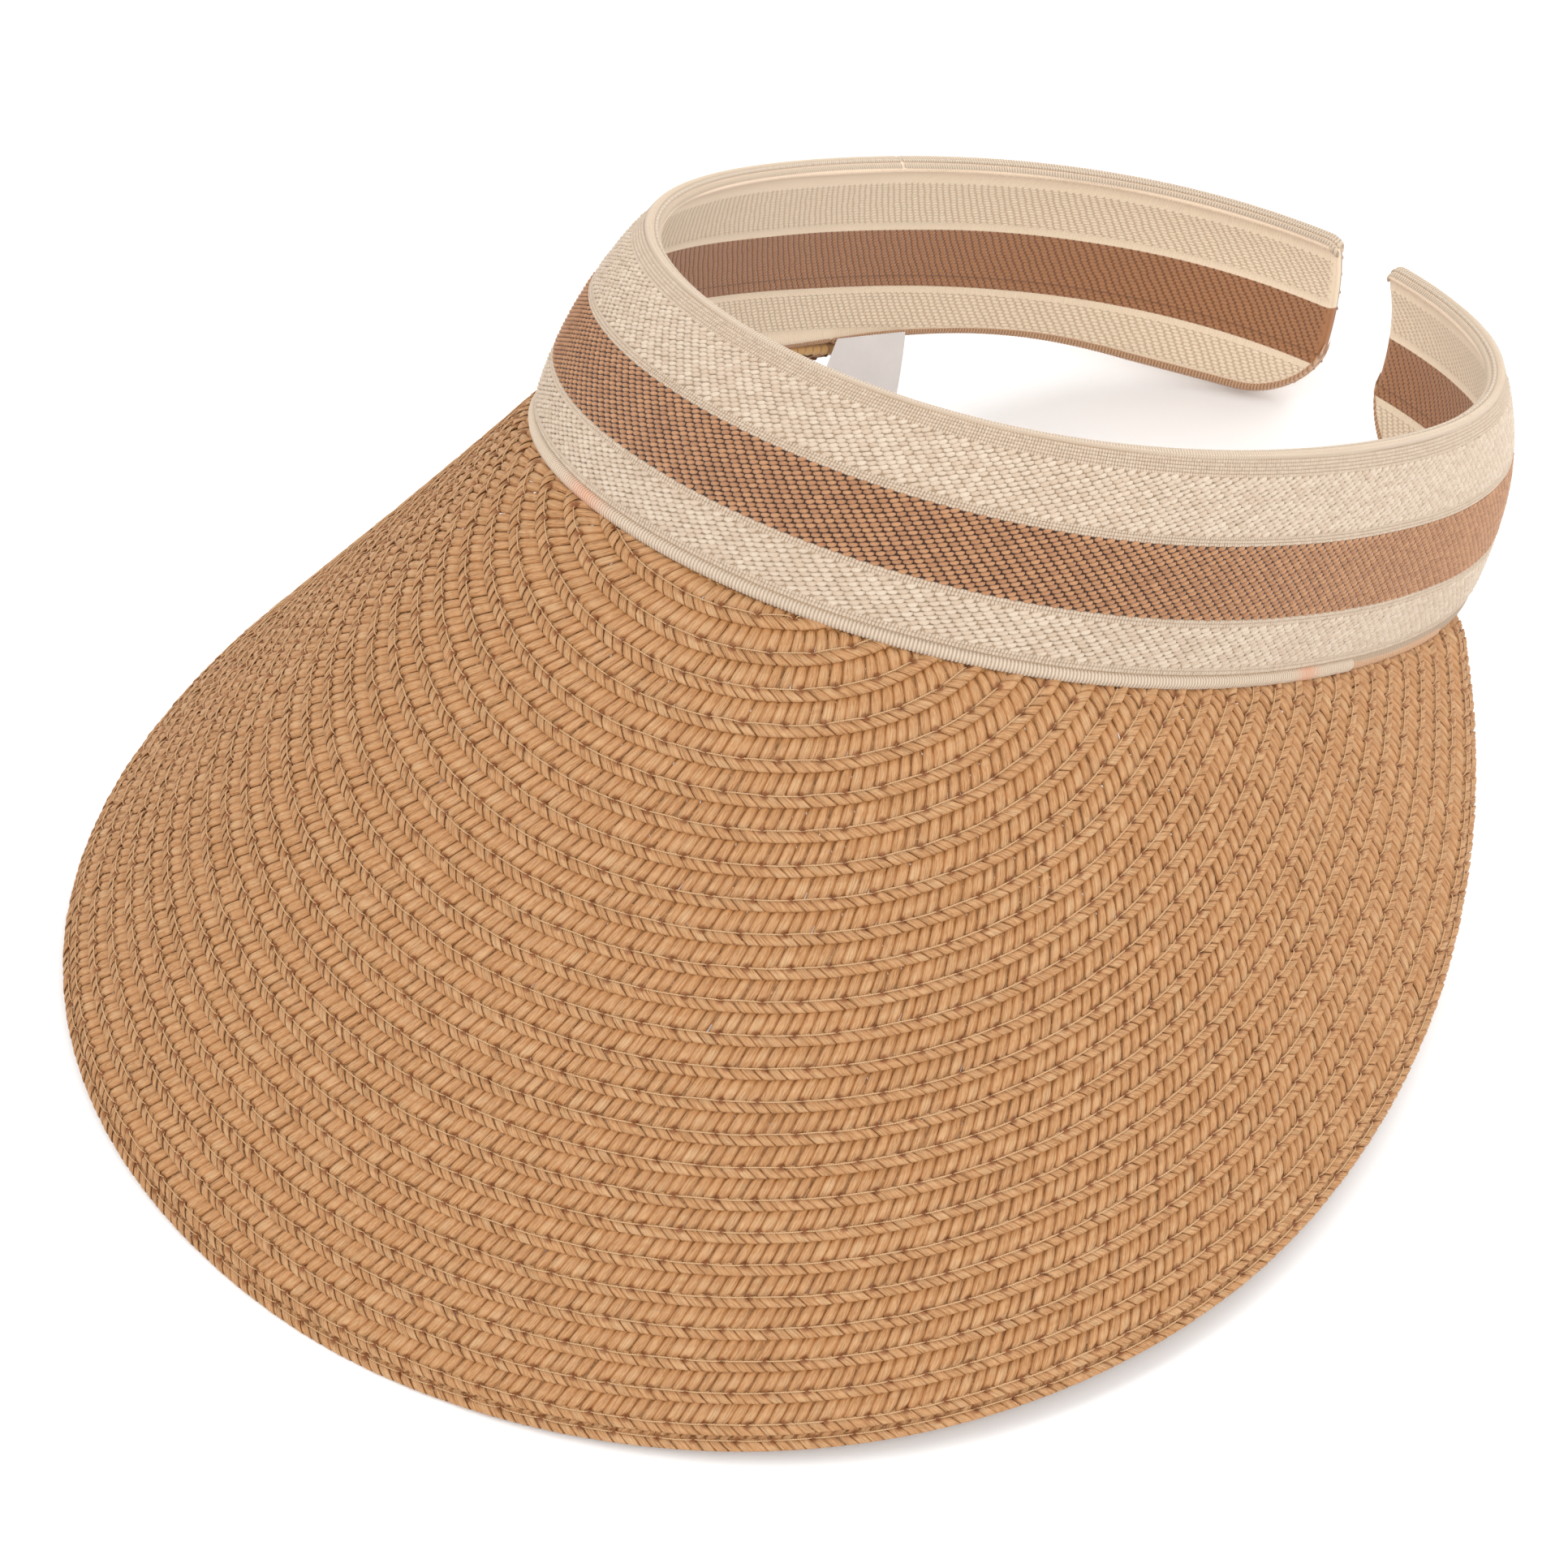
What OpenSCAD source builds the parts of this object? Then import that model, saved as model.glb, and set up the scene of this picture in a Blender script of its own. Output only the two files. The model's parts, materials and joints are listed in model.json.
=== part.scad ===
// Wide-brim straw sun visor with an open-back striped headband.
// The headband is a sprung C-shaped band; the brim is sewn from lapped rows of plaited straw.
// Millimetres. The visor stands on the front of its brim and on the ends of its band.

/* [Headband] */
// half width of the head opening, to the middle of the band
band_half_w = 71; // [67:0.5:75]
// half length of the head opening, to the middle of the band
band_half_l = 93.5; // [88:0.5:98]
// how much the plan of the band is squared off
band_square = 4.4; // [3:0.2:6]
// height of the striped tape
tape_w = 38; // [35:0.5:41]
// thickness of one tape
tape_t = 1.0; // [0.8:0.1:1.2]
// room between the two tapes, for the springy strip
tape_gap = 1.1; // [0.9:0.1:1.3]
// inward lean of the band, degrees
lean = 11.4; // [8:0.2:14]
// how far the band's profile is bulged, degrees of arc
bulge = 42; // [36:1:48]
// angle round the band at which the left arm ends
left_end = 178.8; // [176:0.2:179]
// angle round the band at which the right arm ends
right_end = 172.6; // [168:0.2:173]
// angle round the band at which each arm starts to flex
flex_at = 126.5; // [126:0.1:128]
// radius of the rounded lower corner at each arm's end
corner_r = 12; // [8:0.5:14]
// how far the left arm's lower edge rides up, as a share of the tape's height
edge_rise = 0.087; // [0:0.005:0.09]

/* [Brim] */
// half width of the brim's rim, measured on the flattened mat
rim_half_w = 145; // [142:0.5:148]
// length of the rim's oval from its centre to the front, on the flattened mat
rim_front = 149.3; // [147:0.1:152]
// how far the rim's centre lies in front of the band's centre
rim_shift = 83.5; // [81:0.5:86]
// roundness of the rim's oval, 2 is a true ellipse
rim_round = 1.94; // [1.9:0.01:2.1]
// width of one braid row that shows
row_pitch = 5.03; // [4.95:0.01:5.1]
// hidden part of each row under the one above
row_lap = 1.2; // [0.8:0.1:1.6]
// thickness of the braid
braid_t = 0.8; // [0.6:0.05:1]
// slope of the brim where it leaves the band at the front, degrees
brim_slope = 61.4; // [58:0.2:64]
// how much the slope grows over 100 mm at the front, degrees
brim_curl = 13; // [8:0.5:16]

/* [Label] */
// length of the care label
label_len = 20; // [12:1:21]
// width of the care label at its sewn edge
label_top = 14; // [9:0.5:15]
// width of the care label at its free edge
label_low = 20; // [12:1:22]

/* [Hidden] */

straw = [0.82, 0.64, 0.43];
cream = [0.91, 0.86, 0.77];
brown = [0.73, 0.54, 0.39];
plastic = [0.93, 0.93, 0.92];
thread = [0.80, 0.58, 0.42];
white = [0.97, 0.96, 0.95];

// half the thickness of the whole band
half_t = tape_t + tape_gap / 2;
// distance from the band's middle at which the brim's surface starts
base_s = 1.25;
// room between lapped rows
gap = 0.2;
// how far the mat is tucked under the band, and how much lower it lies there
tuck_in = 1;
tuck_down = 2 * braid_t + 0.15;
// first of the rows that fold under the band at the front
fold_from = 25;
// degrees between the stations of a row, and the number of stations along the band
row_step = 4.5;
front_n = 38;
arm_n = 12;
// half the thickness of the springy strip and of the top seam
strip_half = 0.25;
seam_half = 0.3;
// room between the inner tape and its overlock thread, and the thread's depth
lock_gap = 0.25;
lock_t = 0.45;
// backward tilt of the band when the visor stands on its brim
tilt = 28.75;
// width of the slit at each flex line, in degrees round the band
slit = 0.8;

// ---- headband surface -------------------------------------------------

function plan_x(t) = band_half_w * sin(t) + band_square * sin(3 * t);
function plan_y(t) = -band_half_l * cos(t) + 2.5 * cos(2 * t) - 2.2 * cos(3 * t);
function slope_x(t) = band_half_w * cos(t) + 3 * band_square * cos(3 * t);
function slope_y(t) = band_half_l * sin(t) - 5 * sin(2 * t) + 6.6 * sin(3 * t);
function lean_at(t) = lean + 5.5 * cos(t) + 1.3 * cos(2 * t);
function bulge_at(t) = bulge - 9.6 * cos(t) + 14.8 * cos(2 * t);
function wave(t) = 0.6 * cos(2 * t) - 0.8 * cos(3 * t);

// a point of the band: t degrees round from the front, f from bottom 0 to top 1,
// s millimetres outward from the middle of its thickness
function band(t, f, s) =
  let (
    th = lean_at(t),
    kb = bulge_at(t),
    kr = kb * PI / 180,
    a = th + kb * (f - 0.5),
    off = tape_w * (cos(a) - cos(th)) / kr + s * cos(a),
    z = tape_w * (sin(a) - sin(th)) / kr + s * sin(a) + wave(t),
    dx = slope_x(t),
    dy = slope_y(t),
    m = norm([dx, dy])
  )
  [plan_x(t) + off * dy / m, plan_y(t) - off * dx / m, z];

// ---- brim surface -----------------------------------------------------

base_w = band(90, 0, base_s).x;
base_l = -band(0, 0, base_s).y;

function mat_slope(t) = brim_slope - 23.1 * (1 - cos(t)) / 2 - 0.9 * pow(sin(t), 2);
function mat_curl(t) = (brim_curl - 8.2 * pow(sin(t), 2)) / 100;

// distance of the flattened mat's point from the band's lower edge
function mat_out(x, y) =
  let (r = norm([x / base_w, y / base_l]), t = atan2(x / base_w, -y / base_l))
  (r - 1) * norm([base_w * sin(t), base_l * cos(t)]);

// the point of the bent mat over the flattened mat's point, h above its surface
function mat(x, y, h) =
  let (
    t = atan2(x / base_w, -y / base_l),
    ray = [base_w * sin(t), -base_l * cos(t)],
    u = ray / norm(ray),
    out = max(mat_out(x, y), -tuck_in),
    q = min(max(out / 3, 0), 1),
    b = mat_slope(t),
    c = mat_curl(t),
    cr = c * PI / 180,
    o = max(out, 0),
    hor = (sin(b + c * o) - sin(b)) / cr + min(out, 0),
    ver = (cos(b) - cos(b + c * o)) / cr + tuck_down * (1 - q),
    n = q * (b + c * o),
    p = band(t, 0, base_s)
  )
  [p.x + u.x * (hor + h * sin(n)), p.y + u.y * (hor + h * sin(n)), p.z - ver + h * cos(n)];

// ovals of the flattened mat, w millimetres in from the rim
function oval_w(w) = rim_half_w - w;
function oval_l(w) = rim_front - w - 8.4 * pow(w / 130, 3);
function power(v) = sign(v) * pow(abs(v), 2 / rim_round);
function oval_x(w, a) = oval_w(w) * power(sin(a));
function oval_y(w, a) = -rim_shift - oval_l(w) * power(cos(a));

// angle at which an oval goes under the band, found by halving
function meet(w, lo = 0, hi = 180, n = 24) =
  n == 0 ? (lo + hi) / 2 :
  let (m = (lo + hi) / 2)
  mat_out(oval_x(w, m), oval_y(w, m)) > -tuck_in ? meet(w, m, hi, n - 1)
                                                 : meet(w, lo, m, n - 1);

// distance in from the rim of the lower edge under row j (the rim row is half hidden)
function edge(j) = j == 0 ? 0 : (j - 0.5) * row_pitch;
function lift(j, w) = braid_t * (edge(j) - w) / row_pitch;

// lines that a row's section is drawn through; the innermost rows fold down under the
// band, so they have one more, at the end of the lap
function row_lines(j) =
  j < fold_from ? [edge(j - 1), edge(j) + row_lap]
                : [edge(j - 1), edge(j - 1) + row_lap, edge(j) + row_lap];

function row_ring(j, a) =
  let (ws = row_lines(j), m = len(ws) - 1, t = braid_t - gap)
  concat(
    [for (i = [m:-1:0]) mat(oval_x(ws[i], a), oval_y(ws[i], a), lift(j, ws[i]))],
    [for (w = ws) mat(oval_x(w, a), oval_y(w, a), lift(j, w) + t)]
  );

// every row has its stations at the same angles, but for its own two ends
function row_rings(j) =
  let (e = meet(edge(j - 1)) - 0.4, n = floor(e / row_step - 0.3))
  concat(
    [row_ring(j, -e)],
    [for (i = [-n:n]) row_ring(j, i * row_step)],
    [row_ring(j, e)]
  );

// ---- solids -----------------------------------------------------------

// a closed solid through a list of rings of points
module loft(rings) {
  m = len(rings[0]);
  n = len(rings);
  pts = [for (r = rings) each r];
  sides = [
    for (i = [0:n - 2], k = [0:m - 1])
      let (a = i * m + k, b = i * m + (k + 1) % m, c = a + m, d = b + m)
      each [[a, b, d], [a, d, c]]
  ];
  half = m / 2;
  first = [for (k = [0:half - 2]) each [
    [k, m - 1 - k, m - 2 - k], [k, m - 2 - k, k + 1]]];
  z = (n - 1) * m;
  last = [for (k = [0:half - 2]) each [
    [z + k, z + m - 2 - k, z + m - 1 - k], [z + k, z + k + 1, z + m - 2 - k]]];
  polyhedron(points = pts, faces = concat(sides, first, last), convexity = 12);
}

// the left arm's lower edge rides up a little behind the brim's end
function left_rise(t) =
  let (q = min(max((-98 - t) / 14, 0), 1))
  edge_rise * exp(-pow((t + 140) / 25, 2)) * q * q * (3 - 2 * q);

// where the tape's lower and upper edges run near an arm's end, u mm from it
function low_cut(u) =
  (u < corner_r ? corner_r - sqrt(pow(corner_r, 2) - pow(corner_r - u, 2)) : 0) / tape_w
  + (u < 30 ? 0.09 * pow(1 - u / 30, 1.5) : 0);
function top_cut(u) =
  (u < 2.5 ? 2.5 - sqrt(6.25 - pow(2.5 - u, 2)) : 0) / tape_w;

// one station of a layer of the band, from depth s0 to s1 and height f0 to f1
function layer_ring(t, s0, s1, f0, f1, m) =
  concat(
    [for (k = [0:m - 1]) band(t, f0 + (f1 - f0) * k / (m - 1), s0)],
    [for (k = [m - 1:-1:0]) band(t, f0 + (f1 - f0) * k / (m - 1), s1)]
  );

// hug is 0 for a full layer, -1 for a strip along the lower edge, 1 along the top
module front_layer(s0, s1, f0, f1, m = 5, hug = 0) {
  span = flex_at - slit / 2;
  loft([for (i = [0:front_n])
    let (
      t = span * (1 - 2 * i / front_n),
      g0 = hug == 1 ? f0 : f0 + left_rise(t),
      g1 = hug == -1 ? f1 + left_rise(t) : f1
    )
    layer_ring(t, s0, s1, g0, g1, m)]);
}

// side is 1 for the right arm and -1 for the left; back moves its end in, in mm
module arm_layer(side, s0, s1, f0, f1, m = 7, back = 0, hug = 0) {
  e = (side > 0 ? right_end : left_end) - back / 1.24;
  b = flex_at + slit / 2;
  rings = [for (i = [0:arm_n])
    let (
      t = b + (e - b) * (1 - pow(1 - i / arm_n, 1.7)),
      u = (e - t) * 1.24 + back + 0.02,
      low = low_cut(u) + left_rise(side * t),
      g0 = hug == 1 ? f0 - top_cut(u) : f0 + low,
      g1 = hug == -1 ? f1 + low : f1 - top_cut(u)
    )
    layer_ring(side * t, s0, s1, g0, g1, m)];
  loft(side < 0 ? rings : [for (i = [arm_n:-1:0]) rings[i]]);
}

// moves the visor from the band's own frame to the way it stands
function stand(p) = [
  p.x,
  p.y * cos(tilt) + p.z * sin(tilt),
  -p.y * sin(tilt) + p.z * cos(tilt)
];
rim_pts = [for (r = row_rings(1), p = r) stand(p)];
end_pts = [
  for (t = [flex_at:2:left_end], f = [0:0.25:1]) stand(band(t, f, half_t)),
  stand(band(left_end - 12, 0, -half_t))
];
function arm_edge(e, u, s) =
  let (t = e < 0 ? e + u / 1.24 : e - u / 1.24)
  stand(band(t, low_cut(u) + left_rise(t), s));
arm_pts = [for (e = [-left_end, right_end], u = [1:1:50], s = [-half_t, half_t])
  arm_edge(e, u, s)];
low_z = min(min([for (p = rim_pts) p.z]), min([for (p = arm_pts) p.z]));
mid_y = (min([for (p = rim_pts) p.y]) + max([for (p = end_pts) p.y])) / 2;

module placed() {
  translate([0, -mid_y, -low_z]) rotate([-tilt, 0, 0]) children();
}

// ---- sub-parts --------------------------------------------------------

// one row of plaited straw braid, counted from the rim
module braid_row(j) {
  color(straw) placed() loft(row_rings(j));
}

module rim_row() {
  braid_row(1);
}

// striped tape round the outside
module outer_tape_front() {
  color(cream) placed() front_layer(tape_gap / 2, half_t, 0, 1);
}

module outer_tape_arm(side) {
  color(cream) placed() arm_layer(side, tape_gap / 2, half_t, 0, 1);
}

// the same tape against the head
module inner_tape_front() {
  color(cream) placed() front_layer(-half_t, -tape_gap / 2, 0, 1);
}

module inner_tape_arm(side) {
  color(cream) placed() arm_layer(side, -half_t, -tape_gap / 2, 0, 1);
}

// springy strip between the tapes
module spring_strip_front() {
  color(plastic) placed() front_layer(-strip_half, strip_half, 0.08, 0.93);
}

module spring_strip_arm(side) {
  color(plastic) placed() arm_layer(side, -strip_half, strip_half, 0.08, 0.93, 7, 3);
}

// sewn edge that closes the two tapes along the top
module top_seam_front() {
  color(cream) placed() front_layer(-seam_half, seam_half, 0.955, 0.995, 2, 1);
}

module top_seam_arm(side) {
  color(cream) placed() arm_layer(side, -seam_half, seam_half, 0.955, 0.995, 2, 2, 1);
}

// rolled selvedge of the outer tape, over the brim's seam
module lower_selvedge() {
  color(cream) placed() loft([for (i = [0:30])
    layer_ring(88.5 - 193.5 * i / 30, half_t + 0.2, half_t + 1, 0.005, 0.05, 2)]);
}

// overlock thread along the inner tape's lower edge
module overlock_front() {
  color(thread) placed()
    front_layer(-half_t - lock_gap - lock_t, -half_t - lock_gap, 0, 0.022, 2, -1);
}

module overlock_arm(side) {
  color(thread) placed()
    arm_layer(side, -half_t - lock_gap - lock_t, -half_t - lock_gap, 0, 0.022, 2, 2, -1);
}

// blank care label, sewn under the left side and hanging straight down
module care_label() {
  a = band(-124, left_rise(-124), -half_t - 1) - [0, 0, 0.4];
  b0 = band(-116, left_rise(-116), -half_t - 1) - [0, 0, 0.4];
  along = (b0 - a) / norm(b0 - a);
  b = a + along * label_top;
  down = [0, sin(tilt), -cos(tilt)];
  flat = down - along * (down * along);
  side = flat / norm(flat);
  thick = cross(along, side) * 0.35;
  color(white) placed() loft([for (i = [0:8])
    let (
      q = i / 8,
      p = a + side * label_len * q - along * 0.5 * q,
      r = b + side * label_len * q + along * (label_low - label_top) * pow(q, 0.8)
    )
    [p, r, r + thick, p + thick]]);
}

rim_row();
braid_row(2);  // braid_row_02
braid_row(3);  // braid_row_03
braid_row(4);  // braid_row_04
braid_row(5);  // braid_row_05
braid_row(6);  // braid_row_06
braid_row(7);  // braid_row_07
braid_row(8);  // braid_row_08
braid_row(9);  // braid_row_09
braid_row(10);  // braid_row_10
braid_row(11);  // braid_row_11
braid_row(12);  // braid_row_12
braid_row(13);  // braid_row_13
braid_row(14);  // braid_row_14
braid_row(15);  // braid_row_15
braid_row(16);  // braid_row_16
braid_row(17);  // braid_row_17
braid_row(18);  // braid_row_18
braid_row(19);  // braid_row_19
braid_row(20);  // braid_row_20
braid_row(21);  // braid_row_21
braid_row(22);  // braid_row_22
braid_row(23);  // braid_row_23
braid_row(24);  // braid_row_24
braid_row(25);  // braid_row_25
braid_row(26);  // braid_row_26
outer_tape_front();
outer_tape_arm(-1);  // outer_tape_left
outer_tape_arm(1);  // outer_tape_right
inner_tape_front();
inner_tape_arm(-1);  // inner_tape_left
inner_tape_arm(1);  // inner_tape_right
spring_strip_front();
spring_strip_arm(-1);  // spring_strip_left
spring_strip_arm(1);  // spring_strip_right
top_seam_front();
top_seam_arm(-1);  // top_seam_left
top_seam_arm(1);  // top_seam_right
lower_selvedge();
overlock_front();
overlock_arm(-1);  // overlock_left
overlock_arm(1);  // overlock_right
care_label();
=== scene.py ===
"""Wide-brim straw sun visor: plaited brim rows, a striped sprung headband and a blank label.

The band and the brim are the same formulas as the CAD part's, in millimetres and degrees in the
headband's own frame. stand() turns such points into metres in the row frame.
t is degrees round the band from the front, f its height from 0 to 1, s the depth from its middle.
"""

import json
import math

import bpy
import numpy as np
from mathutils import Matrix


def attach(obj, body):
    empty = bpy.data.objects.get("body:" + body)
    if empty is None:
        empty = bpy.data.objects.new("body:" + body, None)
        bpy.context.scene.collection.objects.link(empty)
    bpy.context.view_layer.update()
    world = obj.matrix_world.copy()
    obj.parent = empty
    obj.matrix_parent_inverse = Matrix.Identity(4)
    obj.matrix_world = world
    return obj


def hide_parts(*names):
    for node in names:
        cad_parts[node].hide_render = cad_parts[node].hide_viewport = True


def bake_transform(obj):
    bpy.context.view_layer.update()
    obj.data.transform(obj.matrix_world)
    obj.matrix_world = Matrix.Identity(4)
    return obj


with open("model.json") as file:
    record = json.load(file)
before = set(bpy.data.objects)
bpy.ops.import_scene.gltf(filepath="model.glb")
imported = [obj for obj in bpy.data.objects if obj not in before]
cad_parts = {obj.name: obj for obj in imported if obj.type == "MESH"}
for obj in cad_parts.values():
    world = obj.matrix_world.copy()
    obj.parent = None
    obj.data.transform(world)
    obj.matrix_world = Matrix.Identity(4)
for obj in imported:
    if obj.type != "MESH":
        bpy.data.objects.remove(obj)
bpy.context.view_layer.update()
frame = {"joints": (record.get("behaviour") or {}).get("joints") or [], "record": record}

# ---- sizes shared with the CAD part ------------------------------------------

BAND_HALF_W, BAND_HALF_L, BAND_SQUARE = 71, 93.5, 4.4
TAPE_W, HALF_T = 38, 1.55
LEAN, BULGE = 11.4, 42
LEFT_END, RIGHT_END, FLEX_AT = 178.8, 172.6, 126.5
CORNER_R, TOP_CORNER_R = 12, 2.5
MM_PER_DEGREE = 1.24

RIM_HALF_W, RIM_FRONT, RIM_SHIFT, RIM_ROUND = 145, 149.3, 83.5, 1.94
ROW_PITCH, ROW_LAP, BRAID_T, ROWS = 5.03, 1.2, 0.8, 26
BRIM_SLOPE, BRIM_CURL = 61.4, 13
BASE_S, TUCK_IN = 1.25, 1
TUCK_DOWN = 2 * BRAID_T + 0.15
TUCK_REACH = 3  # how far out from the band's edge the brim starts to dip under it

SELVEDGE_FROM, SELVEDGE_TO = 88.5, -105

# the label's sewn edge follows the band a little further than the CAD's straight one
LABEL_LEN, LABEL_TOP, LABEL_LOW = 20, 16, 22
LABEL_FROM, LABEL_TO = -124, -113.5
LABEL_BEND = 1.0, 4.0  # two distances down the label from its sewn edge, in mm

MOUNT = frame["record"]["mounts"][0]
ORIGIN = np.array(MOUNT["pos_m"])
AXIS = np.array(MOUNT["axis"])


def sin(a):
    """Sine of degrees."""
    return np.sin(np.radians(a))


def cos(a):
    """Cosine of degrees."""
    return np.cos(np.radians(a))


def stand(p):
    """Band-frame millimetres to row-frame metres."""
    x, y, z = p[..., 0], p[..., 1], p[..., 2]
    turned = np.stack([x, y * AXIS[2] + z * AXIS[1], z * AXIS[2] - y * AXIS[1]], -1)
    return turned / 1000 + ORIGIN


def band(t, f, s):
    """A point of the headband."""
    t, f, s = np.broadcast_arrays(*(np.asarray(v, float) for v in (t, f, s)))
    th = LEAN + 5.5 * cos(t) + 1.3 * cos(2 * t)
    kb = BULGE - 9.6 * cos(t) + 14.8 * cos(2 * t)
    kr = np.radians(kb)
    a = th + kb * (f - 0.5)
    off = TAPE_W * (cos(a) - cos(th)) / kr + s * cos(a)
    z = TAPE_W * (sin(a) - sin(th)) / kr + s * sin(a) + 0.6 * cos(2 * t) - 0.8 * cos(3 * t)
    px = BAND_HALF_W * sin(t) + BAND_SQUARE * sin(3 * t)
    py = -BAND_HALF_L * cos(t) + 2.5 * cos(2 * t) - 2.2 * cos(3 * t)
    dx = BAND_HALF_W * cos(t) + 3 * BAND_SQUARE * cos(3 * t)
    dy = BAND_HALF_L * sin(t) - 5 * sin(2 * t) + 6.6 * sin(3 * t)
    m = np.hypot(dx, dy)
    return np.stack([px + off * dy / m, py - off * dx / m, z], -1)


BASE_W = band(90, 0, BASE_S)[0]
BASE_L = -band(0, 0, BASE_S)[1]


def mat_out(x, y):
    """Distance of the flattened brim's point from the band's lower edge."""
    t = np.degrees(np.arctan2(x / BASE_W, -y / BASE_L))
    return (np.hypot(x / BASE_W, y / BASE_L) - 1) * np.hypot(BASE_W * sin(t), BASE_L * cos(t))


def mat(x, y, h):
    """The bent brim's point over the flattened brim's point, h above its surface."""
    t = np.degrees(np.arctan2(x / BASE_W, -y / BASE_L))
    ray_x, ray_y = BASE_W * sin(t), -BASE_L * cos(t)
    m = np.hypot(ray_x, ray_y)
    out = np.maximum(mat_out(x, y), -TUCK_IN)
    q = np.clip(out / TUCK_REACH, 0, 1)
    b = BRIM_SLOPE - 23.1 * (1 - cos(t)) / 2 - 0.9 * sin(t) ** 2
    c = (BRIM_CURL - 8.2 * sin(t) ** 2) / 100
    cr = np.radians(c)
    o = np.maximum(out, 0)
    hor = (sin(b + c * o) - sin(b)) / cr + np.minimum(out, 0)
    ver = (cos(b) - cos(b + c * o)) / cr + TUCK_DOWN * (1 - q)
    n = q * (b + c * o)
    p = band(t, 0, BASE_S)
    reach = (hor + h * sin(n)) / m
    return np.stack(
        [p[..., 0] + ray_x * reach, p[..., 1] + ray_y * reach, p[..., 2] - ver + h * cos(n)], -1
    )


def oval(w, a):
    """The flattened brim's point w in from the rim, at angle a of its oval."""

    def power(v):
        return np.sign(v) * np.abs(v) ** (2 / RIM_ROUND)

    long = RIM_FRONT - w - 8.4 * (w / 130) ** 3
    return (RIM_HALF_W - w) * power(sin(a)), -RIM_SHIFT - long * power(cos(a))


def meet(w):
    """The angle at which an oval goes under the band."""
    low, high = 0.0, 180.0
    for _ in range(24):
        mid = (low + high) / 2
        if mat_out(*oval(w, mid)) > -TUCK_IN:
            low = mid
        else:
            high = mid
    return (low + high) / 2


def edge(j):
    """How far in from the rim the lower edge above row j lies."""
    return 0 if j == 0 else (j - 0.5) * ROW_PITCH


def left_rise(t):
    """The left arm's lower edge rides up a little behind the brim's end."""
    start = np.clip((-98 - np.asarray(t)) / 14, 0, 1)
    return 0.087 * np.exp(-(((t + 140) / 25) ** 2)) * start * start * (3 - 2 * start)


def low_cut(u):
    """Where the tape's lower edge runs, u mm from an arm's end."""
    corner = np.clip(CORNER_R - u, 0, CORNER_R)
    rise = 0.09 * np.clip(1 - u / 30, 0, 1) ** 1.5
    return (CORNER_R - np.sqrt(CORNER_R**2 - corner**2)) / TAPE_W + rise


def top_cut(u):
    """How far the tape's upper edge comes down, u mm from an arm's end."""
    corner = np.clip(TOP_CORNER_R - u, 0, TOP_CORNER_R)
    return (TOP_CORNER_R - np.sqrt(TOP_CORNER_R**2 - corner**2)) / TAPE_W


# ---- meshes ------------------------------------------------------------------


def make(name, points, faces, material, uv=None, values=None):
    """A mesh object from points in row-frame metres. uv and values are given for each point."""
    mesh = bpy.data.meshes.new(name)
    mesh.from_pydata(points.tolist(), [], faces.tolist())
    corner = np.zeros(len(mesh.loops), np.int32)
    mesh.loops.foreach_get("vertex_index", corner)
    for layer, data in (uv or {}).items():
        mesh.uv_layers.new(name=layer).data.foreach_set("uv", data[corner].astype(np.float32).ravel())
    for layer, data in (values or {}).items():
        mesh.attributes.new(layer, "FLOAT", "POINT").data.foreach_set("value", data.astype(np.float32))
    mesh.polygons.foreach_set("use_smooth", [True] * len(mesh.polygons))
    mesh.materials.append(material)
    mesh.validate()
    mesh.update()
    obj = bpy.data.objects.new(name, mesh)
    bpy.context.scene.collection.objects.link(obj)
    return obj


def grid_faces(count, rows, cols, closed=False):
    """Quads of count patches, each of rows by cols points."""
    r = np.arange(rows - 1)[:, None]
    c = np.arange(cols if closed else cols - 1)[None, :]
    a = (r * cols + c).ravel()
    b = (r * cols + (c + 1) % cols).ravel()
    quad = np.stack([a, b, b + cols, a + cols], -1)
    return (np.arange(count)[:, None, None] * rows * cols + quad).reshape(-1, 4)


class Patches:
    """Collects patches of points with what the material reads, and makes one mesh of them."""

    def __init__(self):
        self.points, self.faces, self.uv, self.values, self.size = [], [], {}, {}, 0

    def add(self, points, uv, values, closed=False, flip=False):
        """points has the shape (patches, rows, cols, 3); uv and values follow its first three."""
        count, rows, cols, _ = points.shape
        faces = grid_faces(count, rows, cols, closed) + self.size
        self.faces.append(faces[:, ::-1] if flip else faces)
        self.points.append(points.reshape(-1, 3))
        for store, data, width in ((self.uv, uv, (2,)), (self.values, values, ())):
            for key, value in data.items():
                full = np.broadcast_to(value, (count, rows, cols) + width)
                store.setdefault(key, []).append(full.reshape((-1,) + width))
        self.size += count * rows * cols

    def build(self, name, material):
        join = np.concatenate
        return make(
            name,
            stand(join(self.points)),
            join(self.faces),
            material,
            {k: join(v) for k, v in self.uv.items()},
            {k: join(v) for k, v in self.values.items()},
        )


def pair(a, b):
    """Two coordinates of each point, as a UV layer wants them."""
    return np.stack(np.broadcast_arrays(a, b), -1)


# ---- materials ---------------------------------------------------------------


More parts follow.
